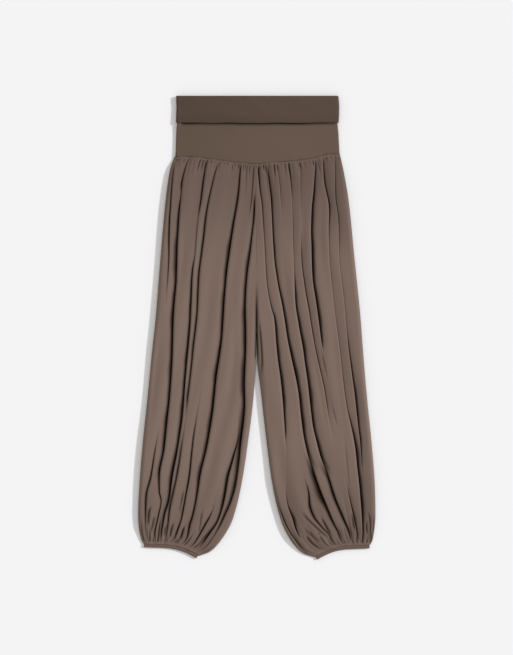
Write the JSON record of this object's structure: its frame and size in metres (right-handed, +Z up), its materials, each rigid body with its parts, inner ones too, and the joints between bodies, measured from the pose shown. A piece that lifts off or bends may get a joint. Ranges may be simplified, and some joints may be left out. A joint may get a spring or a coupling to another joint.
{
  "type": "harem pants",
  "caption": "Loose gathered trousers laid flat, with a folded-over jersey waistband and narrow elastic cuffs.",
  "frame": {"origin": "centre of the garment's outline, on the surface that it lies on", "axes": "+Y towards the waist, +X towards the wearer's left leg, +Z up from the surface, the front of the garment up"},
  "size_m": [0.5218, 1.021, 0.0084],
  "materials": {
    "jersey": "smooth matte knit, brown",
    "crepe": "soft matte woven crepe, brown",
    "cuff_elastic": "matte covered elastic, brown"
  },
  "bodies": {
    "root": {"waistband_front": "jersey", "waistband_back": "jersey", "leg_front_right": "crepe", "leg_front_left": "crepe", "leg_back_right": "crepe", "leg_back_left": "crepe", "cuff_right": "cuff_elastic", "cuff_left": "cuff_elastic"}
  },
  "joints": []
}
